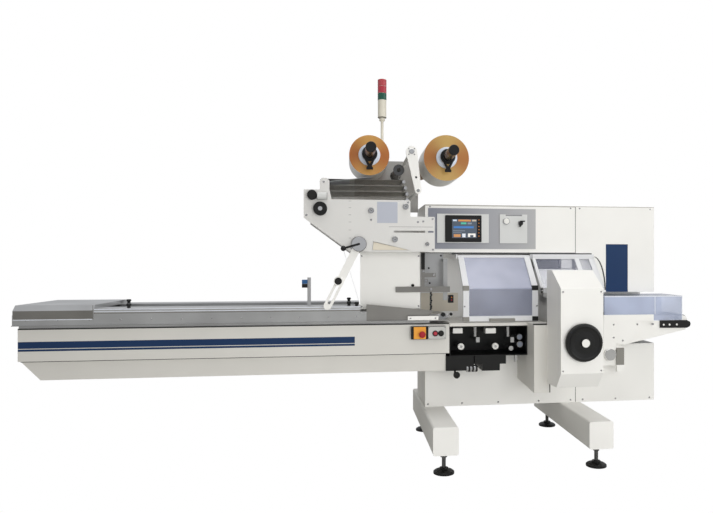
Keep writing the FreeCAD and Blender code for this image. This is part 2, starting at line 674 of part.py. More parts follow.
def guard_door_frame():
    strip = bent_strip(DOOR_HALF)
    bars = [plate_x(strip, (DOOR_X[0], DOOR_X[0] + DOOR_BAR)), plate_x(strip, (DOOR_X[1] - DOOR_BAR, DOOR_X[1]))]
    tube = cylinder((DOOR_X[0], HINGE_Y, HINGE_Z), (1, 0, 0), DOOR_X[1] - DOOR_X[0], HINGE_RADIUS)
    bend_y = (DOOR_BEND[0] - DOOR_HALF, DOOR_BEND[0] + DOOR_HALF)
    bottom = box(DOOR_X, bend_y, (DOOR_BOTTOM, DOOR_BOTTOM + DOOR_BOTTOM_BAR))
    handle = box(HANDLE_X, (bend_y[0] - HANDLE_DEPTH, bend_y[0]), (DOOR_BOTTOM, DOOR_BOTTOM + DOOR_BOTTOM_BAR / 2))
    frame = fuse(bars + [tube, bottom, handle])
    for x in (DOOR_X[0], DOOR_X[1] - PIN_DEPTH):
        frame = frame.cut(cylinder((x, HINGE_Y, HINGE_Z), (1, 0, 0), PIN_DEPTH, PIN_BORE))
    return frame


def guard_door_panes():
    x = (DOOR_X[0] + DOOR_BAR, DOOR_X[1] - DOOR_BAR)
    pane = plate_x(bent_strip(PANE_HALF), x)
    tube = cylinder((x[0], HINGE_Y, HINGE_Z), (1, 0, 0), x[1] - x[0], HINGE_RADIUS)
    bottom = box(x, (DOOR_BEND[0] - DOOR_HALF, DOOR_BEND[0] + DOOR_HALF),
                 (DOOR_BOTTOM, DOOR_BOTTOM + DOOR_BOTTOM_BAR))
    return pane.cut(tube).cut(bottom)


def upper_strip(half):
    strip = bent_strip(half)
    return (strip[0], strip[1], strip[4], strip[5])


def sealer_upper_frame():
    tongue = box((RAIL_BAR_X[0], BASE_X[1]), (RAIL_BAR_Y[0], RAIL_TONGUE_Y), RAIL_BAR_Z)
    pieces = [box(RAIL_BAR_X, RAIL_BAR_Y, RAIL_BAR_Z), tongue]
    pieces += [plate_x(upper_strip(DOOR_HALF), x) for x in UPPER_BARS]
    head = box(UPPER_X, UPPER_HEAD_Y, (HINGE_Z - UPPER_HEAD_DROP, RAIL_BAR_Z[0]))
    low = box(UPPER_X, (DOOR_BEND[0] - DOOR_HALF, DOOR_BEND[0] + DOOR_HALF), (DOOR_BEND[1] - UPPER_LOW_BAR, DOOR_BEND[1]))
    pieces += [head, low]
    for x in (LUG_X, LUG_RIGHT_X):
        pieces.append(box(x, LUG_Y, (LUG_BOTTOM, RAIL_BAR_Z[0])))
    depth = PIN_DEPTH - LUG_GAP
    pieces.append(cylinder((LUG_X[1], HINGE_Y, HINGE_Z), (1, 0, 0), depth, PIN_RADIUS))
    pieces.append(cylinder((LUG_RIGHT_X[0] - depth, HINGE_Y, HINGE_Z), (1, 0, 0), depth, PIN_RADIUS))
    return fuse(pieces)


def sealer_upper_pane():
    panes = []
    for left, right in zip(UPPER_BARS, UPPER_BARS[1:]):
        pane = plate_x(upper_strip(PANE_HALF), (left[1], right[0]))
        head = box(UPPER_X, UPPER_HEAD_Y, (HINGE_Z - UPPER_HEAD_DROP, RAIL_BAR_Z[0]))
        low = box(UPPER_X, (DOOR_BEND[0] - DOOR_HALF, DOOR_BEND[0] + DOOR_HALF), (DOOR_BEND[1] - UPPER_LOW_BAR, DOOR_BEND[1]))
        panes.append(pane.cut(head).cut(low))
    return Part.makeCompound(panes)


def end_sealer_guard():
    body = rounded(plate_x(SEALER_OUTLINE, SEALER_X), SEALER_CORNER, (1, 0, 0))
    front = SEALER_OUTLINE[2][0]
    return fuse([body, cylinder_y(WHEEL_CENTRE, (WHEEL_SHAFT_Y, front), WHEEL_SHAFT)])


def handwheel():
    origin = Vector(WHEEL_CENTRE[0], SEALER_OUTLINE[2][0], WHEEL_CENTRE[1])
    return revolve(WHEEL_PROFILE, origin, Vector(0, 1, 0), Vector(1, 0, 0))


def end_sealer_column():
    return fuse([plate_x(COLUMN_OUTLINE, COLUMN_X), box(LEDGE_X, LEDGE_Y, LEDGE_Z)])


def end_sealer_head():
    body = fuse([plate_x(HEAD_OUTLINE, HEAD_X), box(HEAD_X, HEAD_ARM_Y, HEAD_ARM_Z)])
    return body.cut(box(HEAD_X, HEAD_TUNNEL_Y, HEAD_TUNNEL_Z))


def drive_bay_housing():
    shell = box(BAY_X, BAY_Y, BAY_Z)
    cavity = box((BAY_X[0] + BAY_WALL, BAY_X[1] - BAY_WALL), (BAY_Y[0], BAY_Y[1] - BAY_WALL),
                 (BAY_Z[0] + BAY_WALL, BAY_Z[1] - BAY_WALL))
    return fuse([shell.cut(cavity)] + [box(*sizes) for sizes in LOWER_BOXES])


def drive_parts():
    back = BAY_Y[1] - BAY_WALL
    parts = []
    for x, z, radius in BAY_RODS:
        parts.append(cylinder((x, BAY_PART_Y + radius, z), (0, 0, 1), BAY_Z[1] - BAY_WALL - z, radius))
    for x0, x1, z0, z1 in BAY_BLOCKS:
        parts.append(box((x0, x1), (BAY_PART_Y, back), (z0, z1)))
    for x, z, radius in BAY_RINGS:
        parts.append(cylinder_y((x, z), (BAY_PART_Y, back), radius))
    return Part.makeCompound(parts)


def discharge_frame():
    pieces = [plate_y(SIDE_OUTLINE, SIDE_Y), plate_y(SIDE_OUTLINE, (-SIDE_Y[1], -SIDE_Y[0]))]
    inside = (-SIDE_Y[0], SIDE_Y[0])
    pieces.append(box(BED_X, inside, BED_Z))
    pieces.append(box(FOOT_BLOCK_X, inside, FOOT_BLOCK_Z))
    for x in BELT_X:
        pieces.append(cylinder_y((x, BELT_Z), inside, BELT_RADIUS - BELT_THICK - BELT_LIFT))
    return fuse(pieces)


def discharge_belt():
    return loop_y(BELT_X, BELT_Z, BELT_RADIUS, BELT_THICK, BELT_HALF)


def discharge_cover():
    outer = box(COVER_X, (-SIDE_Y[1], SIDE_Y[1]), (SIDE_OUTLINE[-1][1], COVER_TOP))
    inner_half = SIDE_Y[1] - COVER_WALL
    inner = box(COVER_X, (-inner_half, inner_half), (SIDE_OUTLINE[-1][1], COVER_TOP - COVER_WALL))
    return outer.cut(inner)


def discharge_nose_blocks():
    front = plate_y(NOSE_OUTLINE, (-SIDE_Y[1] - NOSE_DEPTH, -SIDE_Y[1]))
    rear = plate_y(NOSE_OUTLINE, (SIDE_Y[1], SIDE_Y[1] + NOSE_DEPTH))
    return Part.makeCompound([front, rear])


def discharge_drive_unit():
    gusset = plate_y(GUSSET, GUSSET_Y)
    unit = box(UNIT_X, (GUSSET_Y[1], FRONT_Y), UNIT_Z)
    disc = cylinder_y(UNIT_DISC[:2], (GUSSET_Y[0] - UNIT_DISC_DEPTH, GUSSET_Y[1]), UNIT_DISC[2])
    return fuse([gusset, unit, disc, box(*UNIT_BLOCK)])


def signal_tower():
    pole = revolve(TOWER_PROFILE, Vector(TOWER_X, TOWER_Y, 0), Vector(0, 0, 1), Vector(1, 0, 0))
    return fuse([pole, box(*TOWER_BRACKET)])


NODES = (
    levelling_pads, levelling_studs, foot_beams, base_cabinet, control_housing, electrical_cabinet,
    control_panel, touchscreen, infeed_body, infeed_pan, infeed_chain, infeed_side_rails, infeed_tail_cover,
    product_sensor_post, operator_boxes, emergency_stop_button, film_front_plate, film_rear_frame,
    film_plate_knobs, unwind_back_plate, unwind_spindles, reel_left, reel_right, bearing_link, film_web,
    slotted_arm, side_guard_panel, former_plates, former_linkage, work_area_fittings, guard_door_frame,
    guard_door_panes, sealer_upper_frame, sealer_upper_pane, end_sealer_guard, handwheel, end_sealer_column,
    end_sealer_head, drive_bay_housing, drive_parts, discharge_frame, discharge_belt, discharge_cover,
    discharge_nose_blocks, discharge_drive_unit, signal_tower,
)


def build():
    os.makedirs("parts", exist_ok=True)
    shapes = {make.__name__: make() for make in NODES}
    bounds = FreeCAD.BoundBox()
    for shape in shapes.values():
        bounds.add(shape.BoundBox)
    shift = Vector(-bounds.Center.x, -bounds.Center.y, -bounds.ZMin)
    for name, shape in shapes.items():
        shape.translate(shift)
        shape.exportStep("parts/" + name + ".step")
    print("shift", shift, "size", bounds.XLength, bounds.YLength, bounds.ZLength)


build()
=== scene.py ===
"""Horizontal flow wrapper: finishes, small fittings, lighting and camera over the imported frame."""

import math

import bmesh
import bpy
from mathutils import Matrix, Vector


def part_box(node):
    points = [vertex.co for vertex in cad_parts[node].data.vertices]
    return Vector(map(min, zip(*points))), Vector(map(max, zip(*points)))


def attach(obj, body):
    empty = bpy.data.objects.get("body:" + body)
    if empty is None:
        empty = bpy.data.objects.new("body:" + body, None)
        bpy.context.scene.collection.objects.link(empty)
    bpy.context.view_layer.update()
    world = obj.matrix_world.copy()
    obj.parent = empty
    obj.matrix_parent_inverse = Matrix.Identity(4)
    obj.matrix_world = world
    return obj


bl_info = {
    "name": "Horizontal flow wrapper finishes",
    "version": (1, 0, 0),
    "blender": (4, 5, 0),
    "location": "View3D > Sidebar > Wrapper",
    "description": "Adds finishes, fittings, studio light and a camera to the flow wrapper",
    "category": "Object",
}

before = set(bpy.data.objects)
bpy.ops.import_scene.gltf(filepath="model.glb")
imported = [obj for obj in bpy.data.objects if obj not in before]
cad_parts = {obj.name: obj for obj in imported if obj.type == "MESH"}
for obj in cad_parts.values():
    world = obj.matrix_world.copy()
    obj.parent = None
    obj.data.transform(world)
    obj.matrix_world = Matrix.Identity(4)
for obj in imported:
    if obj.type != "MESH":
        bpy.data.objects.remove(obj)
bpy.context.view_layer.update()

# The machine's own axes, in millimetres: X along the product line, Y away from the operator, Z up.
# Faces that fittings sit on, as their Y.
CABINET_FACE = -35
PANEL_FACE = -43
GLASS_FACE = -51
COVER_FACE = -130
GUSSET_FACE = -140
LOWER_BODY_FACE = -230
DOOR_FACE = -243
SKIRT_FACE = -250
PAN_FACE = -262
LIP_FACE = -270
BOX_FACE = -282
PLATE_FACE = -305
GUARD_FACE = -610
# Centres that several fittings share: X and Z, or X and Y for the tower.
LEFT_REEL = (125, 1789)
RIGHT_REEL = (585, 1783)
LINK_HEAD = (358, 1787)
HANDWHEEL = (1249, 729)
TOWER = (218, 180)
SKIN = 0.6  # thickness of paint films, labels and thin cover plates

# The base cabinet's lower front left corner ties these axes to the frame.
CABINET_LEFT = 470
CABINET_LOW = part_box("base_cabinet")[0]
SHIFT = Vector((CABINET_LOW.x - CABINET_LEFT / 1000, CABINET_LOW.y - CABINET_FACE / 1000, 0.0))

SHADOW_SHARE = 0.2  # part of a clear sheet's opacity that its shadow keeps


def at(x, y, z):
    return Vector((x / 1000, y / 1000, z / 1000)) + SHIFT


def linear(code, alpha=1.0):
    """An sRGB hex colour as linear red, green, blue and alpha."""
    values = [int(code[i:i + 2], 16) / 255 for i in (1, 3, 5)]
    return [v / 12.92 if v <= 0.04045 else ((v + 0.055) / 1.055) ** 2.4 for v in values] + [alpha]


def add(tree, kind, settings, links=()):
    """Adds one shader node, with its settings, socket values and incoming links."""
    node = tree.nodes.new(kind)
    for key, value in settings.items():
        if key in node.inputs:
            node.inputs[key].default_value = value
        else:
            setattr(node, key, value)
    for socket, source in links:
        tree.links.new(source, node.inputs[socket])
    return node


def principled(tree):
    return next(n for n in tree.nodes if n.type == "BSDF_PRINCIPLED")


def surface(name, colour, roughness, metallic=0.0, grain=2.0, stretch=(1, 1, 1), bump=0.03, spread=0.06,
            drift=0.9, extra=None):
    """A finish with fine grain in its roughness and relief, and a slow drift of tone over the part.

    grain and bump are the grain's width and height in millimetres."""
    found = bpy.data.materials.get(name)
    if found:
        return found
    material = bpy.data.materials.new(name)
    material.use_nodes = True
    tree = material.node_tree
    tree.nodes.clear()
    where = add(tree, "ShaderNodeTexCoord", {})
    along = add(tree, "ShaderNodeMapping", {"Scale": stretch}, [("Vector", where.outputs["Object"])])
    fine = add(tree, "ShaderNodeTexNoise", {"Scale": 1000 / grain, "Detail": 3.0},
               [("Vector", along.outputs["Vector"])])
    slow = add(tree, "ShaderNodeTexNoise", {"Scale": 1000 / 260, "Detail": 2.0},
               [("Vector", where.outputs["Object"])])
    rough = add(tree, "ShaderNodeMapRange",
                {"To Min": max(0.02, roughness - spread), "To Max": min(1.0, roughness + spread)},
                [("Value", fine.outputs["Fac"])])
    base = linear(colour)
    tone = add(tree, "ShaderNodeValToRGB", {}, [("Fac", slow.outputs["Fac"])])
    tone.color_ramp.elements[0].position = 0.3
    tone.color_ramp.elements[1].position = 0.7
    tone.color_ramp.elements[0].color = [v * drift for v in base[:3]] + [1.0]
    tone.color_ramp.elements[1].color = base
    relief = add(tree, "ShaderNodeBump", {"Strength": 0.35, "Distance": bump / 1000},
                 [("Height", fine.outputs["Fac"])])
    settings = {"Metallic": metallic}
    settings.update(extra or {})
    shader = add(tree, "ShaderNodeBsdfPrincipled", settings,
                 [("Base Color", tone.outputs["Color"]), ("Roughness", rough.outputs["Result"]),
                  ("Normal", relief.outputs["Normal"])])
    add(tree, "ShaderNodeOutputMaterial", {}, [("Surface", shader.outputs["BSDF"])])
    return material


def powder_coat(name, colour, roughness=0.42):
    # Baked powder coat: a soft sheen broken by a 1.8 mm orange peel.
    return surface(name, colour, roughness, grain=1.8, bump=0.03, drift=0.965, extra={"IOR": 1.5})


def brushed(name, colour, stretch=(0.02, 1, 1), roughness=0.36):
    # Belt-ground stainless sheet: long 0.6 mm scratches that draw highlights out across the grain.
    return surface(name, colour, roughness, metallic=1.0, grain=0.6, stretch=stretch, bump=0.01, spread=0.1,
                   drift=0.78)


def turned_steel(name, colour, roughness=0.25):
    # Ground and polished bar: crisp narrow highlights with faint rings.
    return surface(name, colour, roughness, metallic=1.0, grain=1.0, stretch=(1, 0.05, 1), bump=0.005)


def faced_steel(name, colour):
    # Fine-turned end face: a tighter highlight than bar stock.
    return turned_steel(name, colour, 0.14)


def moulded(name, colour, roughness=0.45):
    # Injection-moulded plastic with a 0.8 mm spark-eroded texture that dulls the sheen.
    return surface(name, colour, roughness, grain=0.8, bump=0.02, drift=0.93, extra={"IOR": 1.49})


def printed(name, colour, glow=0.0):
    # Printed or painted film laid on a plate: flat colour with a light satin face.
    extra = {"IOR": 1.5}
    if glow:
        extra.update({"Emission Color": linear(colour), "Emission Strength": glow})
    return surface(name, colour, 0.4, grain=1.2, bump=0.005, drift=0.97, extra=extra)


def clear_sheet(name, colour, alpha):
    # Extruded polycarbonate sheet: sees through with a cool tint and a sharp reflection.
    material = surface(name, colour, 0.08, grain=40.0, bump=0.05, spread=0.03, drift=0.72,
                       extra={"IOR": 1.58})
    tree = material.node_tree
    path = add(tree, "ShaderNodeLightPath", {})
    passing = add(tree, "ShaderNodeMapRange", {"To Min": alpha, "To Max": alpha * SHADOW_SHARE},
                  [("Value", path.outputs["Is Shadow Ray"])])
    shader = principled(tree)
    tree.links.new(passing.outputs["Result"], shader.inputs["Alpha"])
    return material


def glossy_film(name, colour):
    # Stretched metallised film: mirrors the floor softly, with fine draw lines along its run.
    return surface(name, colour, 0.3, metallic=0.85, grain=4.0, stretch=(0.05, 1, 1), bump=0.05, spread=0.12)


def lens(name, colour):
    # Moulded polycarbonate lens: saturated, slightly lit through, with a glossy outer face.
    return surface(name, colour, 0.18, grain=6.0, bump=0.02, drift=0.9,
                   extra={"IOR": 1.58, "Emission Color": linear(colour), "Emission Strength": 0.04})


def wound_film(name, colour, centre):
    """Clear film wound on a core: the cut ends show amber rings under a painted sheen, the outer lap stays
    silvery and glossy.
    """
    material = surface(name, colour, 0.3, grain=3.0, stretch=(1, 0.04, 1), bump=0.02, drift=0.95,
                       extra={"IOR": 1.5})
    tree = material.node_tree
    where = add(tree, "ShaderNodeTexCoord", {})
    middle = add(tree, "ShaderNodeMapping", {"vector_type": "TEXTURE", "Location": centre},
                 [("Vector", where.outputs["Object"])])
    rings = add(tree, "ShaderNodeTexWave", {"wave_type": "RINGS", "rings_direction": "Y", "Scale": 55.0,
                                             "Distortion": 0.6},
                [("Vector", middle.outputs["Vector"])])
    turn = add(tree, "ShaderNodeMapping", {"Rotation": (math.radians(90), 0, 0)},
               [("Vector", middle.outputs["Vector"])])
    fan = add(tree, "ShaderNodeTexGradient", {"gradient_type": "RADIAL"},
              [("Vector", turn.outputs["Vector"])])
    spokes = add(tree, "ShaderNodeCombineXYZ", {}, [("X", fan.outputs["Fac"])])
    # Painted sheen: these bands darken the cut ends in two opposite sectors.
    sheen = add(tree, "ShaderNodeTexWave", {"wave_type": "BANDS", "bands_direction": "X", "Scale": 0.62,
                                             "Distortion": 0.0},
                [("Vector", spokes.outputs["Vector"])])
    laps = shade_ramp(tree, rings.outputs["Fac"], "#E2E2E2", "#FFFFFF")
    painted_sheen = shade_ramp(tree, sheen.outputs["Fac"], "#DCB09E", "#FFFFFF")
    shader = principled(tree)
    ends = multiply(tree, multiply(tree, shader.inputs["Base Color"].links[0].from_socket, laps), painted_sheen)
    normal = add(tree, "ShaderNodeNewGeometry", {})
    parts = add(tree, "ShaderNodeSeparateXYZ", {}, [("Vector", normal.outputs["Normal"])])
    facing = add(tree, "ShaderNodeMath", {"operation": "ABSOLUTE"})
    tree.links.new(parts.outputs["Y"], facing.inputs[0])
    blend = add(tree, "ShaderNodeMix", {"data_type": "RGBA"})
    tree.links.new(facing.outputs[0], blend.inputs[0])
    blend.inputs[6].default_value = linear("#E0DDD6")
    tree.links.new(ends, blend.inputs[7])
    tree.links.new(blend.outputs[2], shader.inputs["Base Color"])
    return material


def graded_panel(name, left, right, box):
    # Anodised aluminium panel: blue-grey, with painted light that pales it from one end of its box to the
    # other.
    material = surface(name, left, 0.5, grain=1.0, bump=0.01, drift=0.97, extra={"IOR": 1.5})
    tree = material.node_tree
    where = add(tree, "ShaderNodeTexCoord", {})
    parts = add(tree, "ShaderNodeSeparateXYZ", {}, [("Vector", where.outputs["Object"])])
    along = add(tree, "ShaderNodeMapRange", {"From Min": box[0][0], "From Max": box[1][0]},
                [("Value", parts.outputs["X"])])
    shader = principled(tree)
    tree.links.new(shade_ramp(tree, along.outputs["Result"], left, right), shader.inputs["Base Color"])
    return material


def shade_ramp(tree, factor, dark, pale):
    """Turns a pattern's 0 to 1 into a tint between two colours."""
    ramp = add(tree, "ShaderNodeValToRGB", {}, [("Fac", factor)])
    ramp.color_ramp.elements[0].color = linear(dark)
    ramp.color_ramp.elements[1].color = linear(pale)
    return ramp.outputs["Color"]


def multiply(tree, first, second):
    blend = add(tree, "ShaderNodeMix", {"data_type": "RGBA", "blend_type": "MULTIPLY"})
    blend.inputs[0].default_value = 1.0
    tree.links.new(first, blend.inputs[6])
    tree.links.new(second, blend.inputs[7])
    return blend.outputs[2]


WHITE = "#F5F4F0"
BLACK = "#0B0B0A"
FINISHES = {
    "white powder coat": (powder_coat, WHITE, (
        "foot_beams", "base_cabinet", "control_housing", "electrical_cabinet", "end_sealer_guard",
        "side_guard_panel", "slotted_arm", "bearing_link", "discharge_drive_unit",
        "discharge_frame")),
    "warm white powder coat": (powder_coat, "#DEDCD6", ("infeed_body", "end_sealer_column")),
    "light grey powder coat": (powder_coat, "#DEDDDA", ("film_front_plate", "film_rear_frame")),
    "black powder coat": (powder_coat, "#0A0A09", ("drive_bay_housing",)),
    "brushed stainless sheet": (brushed, "#D3D3D2", (
        "infeed_pan", "infeed_side_rails", "infeed_tail_cover", "end_sealer_head", "product_sensor_post",
        "work_area_fittings")),
    "dark stainless plate": (brushed, "#ABA8A3", ("former_plates", "former_linkage")),
    "bead-blasted stainless plate": (brushed, "#CBC8C2", ("unwind_back_plate",)),
    "turned steel bar": (turned_steel, "#6B6B6B", ("unwind_spindles", "infeed_chain", "levelling_studs")),
    "polished steel": (turned_steel, "#C4C4C4", ("drive_parts",)),
    "black moulded plastic": (moulded, BLACK, (
        "touchscreen", "film_plate_knobs", "operator_boxes", "handwheel", "discharge_nose_blocks",
        "levelling_pads")),
    "red moulded plastic": (moulded, "#A9202C", ("emergency_stop_button",)),
    "satin anodised aluminium": (powder_coat, "#E3E4E6", ("guard_door_frame", "sealer_upper_frame")),
    "smooth belt rubber": (moulded, "#31424A", ("discharge_belt",)),
    "packaging film": (printed, "#DADCE0", ("film_web",)),
    "cream moulded plastic": (moulded, "#E4DFD0", ("signal_tower",)),
}


# Finishes of small fittings only, each used by more than one of them.
TRIM = {
    "white moulded plastic": (moulded, "#F2F1EC"),
    # Painted light and shade: a grey in place of the own colour of the door grip, the left door blocks and a
    # drive block.
    "grey moulded plastic": (moulded, "#8B8983"),
    "satin black cap": (moulded, "#151411"),
    "pale grey enamel plate": (powder_coat, "#D7D8D6"),
    "beige enamel panel": (powder_coat, "#E4DCCB"),
    "bright turned face": (faced_steel, "#DADADA"),
    # Painted highlight: a flat pale colour for sheet edges and rail tops where they catch the light.
    "polished sheet edge": (printed, "#E6EAF2"),
    "red moulded lens": (lens, "#B23140"),
}


def finish(name):
    """The shared material of that name, from its recipe and colour."""
    recipe, colour = TRIM[name] if name in TRIM else FINISHES[name][:2]
    return recipe(name, colour)


def coat(node, material):
    """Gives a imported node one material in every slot."""
    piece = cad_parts[node]
    if not piece.material_slots:
        piece.data.materials.append(material)
    for slot in piece.material_slots:
        slot.material = material


def place(name, mesh, material, body):
    data = bpy.data.meshes.new(name)
    bmesh.ops.recalc_face_normals(mesh, faces=mesh.faces)
    mesh.to_mesh(data)
    mesh.free()
    data.materials.append(material)
    piece = bpy.data.objects.new(name, data)
    bpy.context.scene.collection.objects.link(piece)
    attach(piece, body)
    return piece


def slab(name, x, y, z, material, body="machine", bevel=0.2):
    """A plate or block between two corners, with its edges broken."""
    mesh = bmesh.new()
    bmesh.ops.create_cube(mesh, size=1.0)
    low, high = at(x[0], y[0], z[0]), at(x[1], y[1], z[1])
    for vert in mesh.verts:
        vert.co = Vector([low[i] + (vert.co[i] + 0.5) * (high[i] - low[i]) for i in range(3)])
    bmesh.ops.bevel(mesh, geom=mesh.edges[:], offset=bevel / 1000, segments=2, affect="EDGES", profile=0.5)
    return place(name, mesh, material, body)


def turned(name, centre, axis, profile, material, body="machine", steps=48):
    """A turned piece: (radius, distance along the axis) pairs spun round the axis."""
    mesh = bmesh.new()
    origin = at(*centre)
    axis = Vector(axis)
    side = axis.orthogonal().normalized()
    verts = [mesh.verts.new(origin + (side * r + axis * h) / 1000) for r, h in profile]
    edges = [mesh.edges.new(pair) for pair in zip(verts, verts[1:])]
    bmesh.ops.spin(mesh, geom=verts + edges, cent=origin, axis=axis, angle=2 * math.pi, steps=steps,
                   use_merge=False, use_duplicate=False)
    bmesh.ops.remove_doubles(mesh, verts=mesh.verts[:], dist=1e-6)
    piece = place(name, mesh, material, body)
    for face in piece.data.polygons:
        face.use_smooth = True
    piece.data.set_sharp_from_angle(angle=math.radians(35))
    return piece


def disc(name, x, z, back, depth, radius, material, body="machine"):
    """A round boss or cap on a face that looks towards the operator."""
    edge = min(1.5, depth * 0.4, radius * 0.3)
    profile = ((0, depth), (radius - edge, depth), (radius, depth - edge), (radius, 0), (0, 0))
    return turned(name, (x, back, z), (0, -1, 0), profile, material, body, 36)


def discs(stem, places, back, depth, radius, material, body="machine"):
    """Equal discs at X, Z places, named by the stem and a number."""
    for n, (x, z) in enumerate(places):
        disc(f"{stem}_{n}", x, z, back, depth, radius, material, body)


def ring(centre, radius, angles):
    """X, Z places round a centre, at angles in degrees."""
    turns = [math.radians(angle) for angle in angles]
    return [(centre[0] + radius * math.cos(t), centre[1] + radius * math.sin(t)) for t in turns]


def skin_on(face):
    """The Y range of a thin film or plate laid on a face."""
    return (face - SKIN, face)


def panel_shape(name, outline, y, material, body="machine"):
    """A flat plate of any outline in the X-Z plane."""
    mesh = bmesh.new()
    front = [mesh.verts.new(at(px, y[0], pz)) for px, pz in outline]
    face = mesh.faces.new(front)
    made = bmesh.ops.extrude_face_region(mesh, geom=[face])
    for vert in made["geom"]:
        if isinstance(vert, bmesh.types.BMVert):
            vert.co.y += (y[1] - y[0]) / 1000
    return place(name, mesh, material, body)


class WrapperFinishSettings(bpy.types.PropertyGroup):
    guard_alpha: bpy.props.FloatProperty(
        name="Guard opacity", description="How much the clear guards hide", default=0.5, min=0.0, max=1.0,
        subtype="FACTOR")
    screen_glow: bpy.props.FloatProperty(
        name="Screen glow", description="Brightness of the operator screen", default=0.25, min=0.0, max=5.0)


class WrapperStageSettings(bpy.types.PropertyGroup):
    focal_length: bpy.props.FloatProperty(
        name="Focal length", description="Camera focal length", default=30.55, unit="CAMERA")
    eye_height: bpy.props.FloatProperty(
        name="Eye height", description="Height of the camera over the floor", default=1.16, unit="LENGTH")
    key_power: bpy.props.FloatProperty(
        name="Key light", description="Power of the large front light", default=182.0, unit="POWER")


class WRAPPER_OT_finishes(bpy.types.Operator):
    """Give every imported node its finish"""
    bl_idname = "wrapper.finishes"
    bl_label = "Node finishes"

    def execute(self, context):
        settings = context.scene.wrapper_finish
        for name, (recipe, colour, nodes) in FINISHES.items():
            material = recipe(name, colour)
            for node in nodes:
                coat(node, material)
        for node, name, colour, share in (
                ("guard_door_panes", "clear polycarbonate guard", "#C9CEE6", 1.0),
                ("sealer_upper_pane", "thin clear polycarbonate", "#C9CEE6", 0.35),
                ("discharge_cover", "clear polycarbonate cover", "#C6CFE6", 1.3)):
            coat(node, clear_sheet(name, colour, settings.guard_alpha * share))
        panel_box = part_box("control_panel")
        coat("control_panel", graded_panel("anodised panel with painted light gradient", "#858893", "#B3B3B4", panel_box))
        for node, name, colour, (x, z) in (("reel_left", "wound amber film", "#D5A055", LEFT_REEL),
                                           ("reel_right", "wound ochre film", "#D2AC66", RIGHT_REEL)):
            coat(node, wound_film(name, colour, at(x, 0, z)))
        return {"FINISHED"}


class WRAPPER_OT_livery(bpy.types.Operator):
    """Add the painted bands, shaded edges, seams and painted shadow lines"""
    bl_idname = "wrapper.livery"
    bl_label = "Painted bands"

    def execute(self, context):
        navy = printed("navy paint band", "#002C57")
        # Dark strip for seams and for painted shadow lines.
        dark = moulded("dark joint and painted shadow strip", "#2A2A2A")
        steel = finish("polished steel")
        edge = powder_coat("shaded grey edge", "#A9A69F")
        for name, x, face, z, material in (
                ("skirt_band_wide", (-1733, 39), SKIRT_FACE, (699, 735), navy),
                ("skirt_band_narrow", (-1733, 39), SKIRT_FACE, (684, 695), navy),
                ("cabinet_band", (1635, 1783), CABINET_FACE, (968, 1274), navy),
                ("cabinet_seam", (1430.6, 1433.4), CABINET_FACE, (272, 1512), dark),
                # Joint line with painted shadow along the control housing's bottom edge.
                ("housing_joint_and_painted_shadow", (472, 1430), CABINET_FACE, (1216, 1219), dark),
                # Painted shadows: the pan's lip on the skirt, and the skirt on the recessed lower body.
                ("skirt_shadow_strip", (-1733, 583), SKIRT_FACE, (799, 806), dark),
                ("skirt_lower_painted_shadow", (-1730, 565), LOWER_BODY_FACE, (624, 630), dark),
                ("housing_top_edge", (471, 1429), CABINET_FACE, (1507, 1513), edge),
                ("cabinet_top_edge", (1435, 1962), CABINET_FACE, (1510, 1513), edge)):
            slab(name, x, skin_on(face), z, material)
        low_row = [(x, 286) for x in (488, 700, 930, 1190, 1400, 1480, 1700, 1930)]
        discs("base_screw", low_row, CABINET_FACE, 2.5, 6, steel)
        high_row = [(x, 1500) for x in (500, 1400, 1460, 1936)]
        discs("upper_screw", high_row, CABINET_FACE, 2.0, 5, steel)
        return {"FINISHED"}


